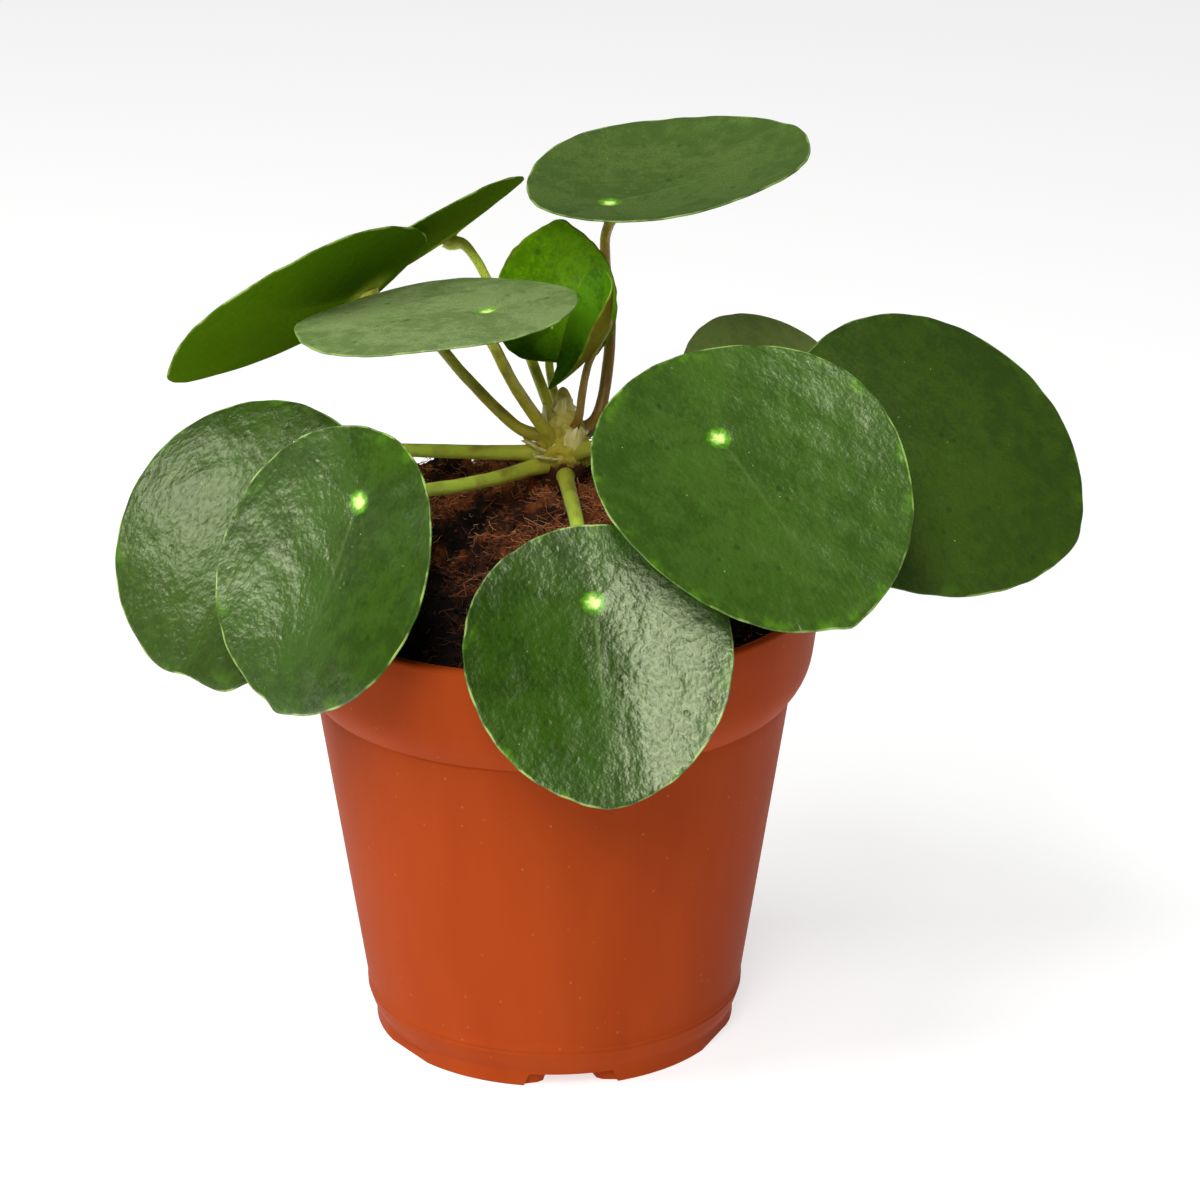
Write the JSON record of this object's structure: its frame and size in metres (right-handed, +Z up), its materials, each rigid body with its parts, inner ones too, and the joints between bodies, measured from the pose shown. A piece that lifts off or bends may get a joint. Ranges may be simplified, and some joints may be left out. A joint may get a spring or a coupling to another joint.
{
  "type": "potted pilea plant",
  "caption": "Potted houseplant with round coin-shaped leaves on long arching stalks, a short stem, heaped peat soil and a tapered round nursery pot with a rim band.",
  "frame": {"origin": "centre of the footprint of the whole plant, on the ground the pot stands on", "axes": "+Z up; +X across the widest spread of leaves, to the right as seen from the front; -Y towards the front"},
  "size_m": [0.1876, 0.1308, 0.1757],
  "materials": {
    "pot_plastic": "satin, fine moulded grain",
    "peat_soil": "dull, crumbly, moist peat with fibres",
    "stem_bark": "dull, corky, with papery scales",
    "leaf_mature": "satin waxy living leaf, pale dot where the stalk joins",
    "leaf_glaucous": "satin living leaf with a grey bloom",
    "leaf_young": "satin young leaf, bright green",
    "petiole_green": "satin fleshy stalk, yellow-green",
    "petiole_olive": "satin fleshy stalk, olive turning brown at its foot"
  },
  "bodies": {
    "root": {"pot": "pot_plastic", "soil": "peat_soil", "stem": "stem_bark", "petiole_top_right": "petiole_olive", "leaf_top_right": "leaf_glaucous", "petiole_back_left": "petiole_olive", "leaf_back_left": "leaf_mature", "petiole_upper_left": "petiole_olive", "leaf_upper_left": "leaf_mature", "petiole_middle_left": "petiole_olive", "leaf_middle_left": "leaf_glaucous", "petiole_young_upright": "petiole_olive", "leaf_young_upright": "leaf_young", "petiole_young_folded": "petiole_olive", "leaf_young_folded": "leaf_young", "petiole_back_right": "petiole_green", "leaf_back_right": "leaf_mature", "petiole_far_right": "petiole_green", "leaf_far_right": "leaf_mature", "petiole_front_right": "petiole_green", "leaf_front_right": "leaf_mature", "petiole_front_centre": "petiole_green", "leaf_front_centre": "leaf_mature", "petiole_front_left": "petiole_green", "leaf_front_left": "leaf_mature", "petiole_far_left": "petiole_green", "leaf_far_left": "leaf_mature"}
  },
  "joints": []
}
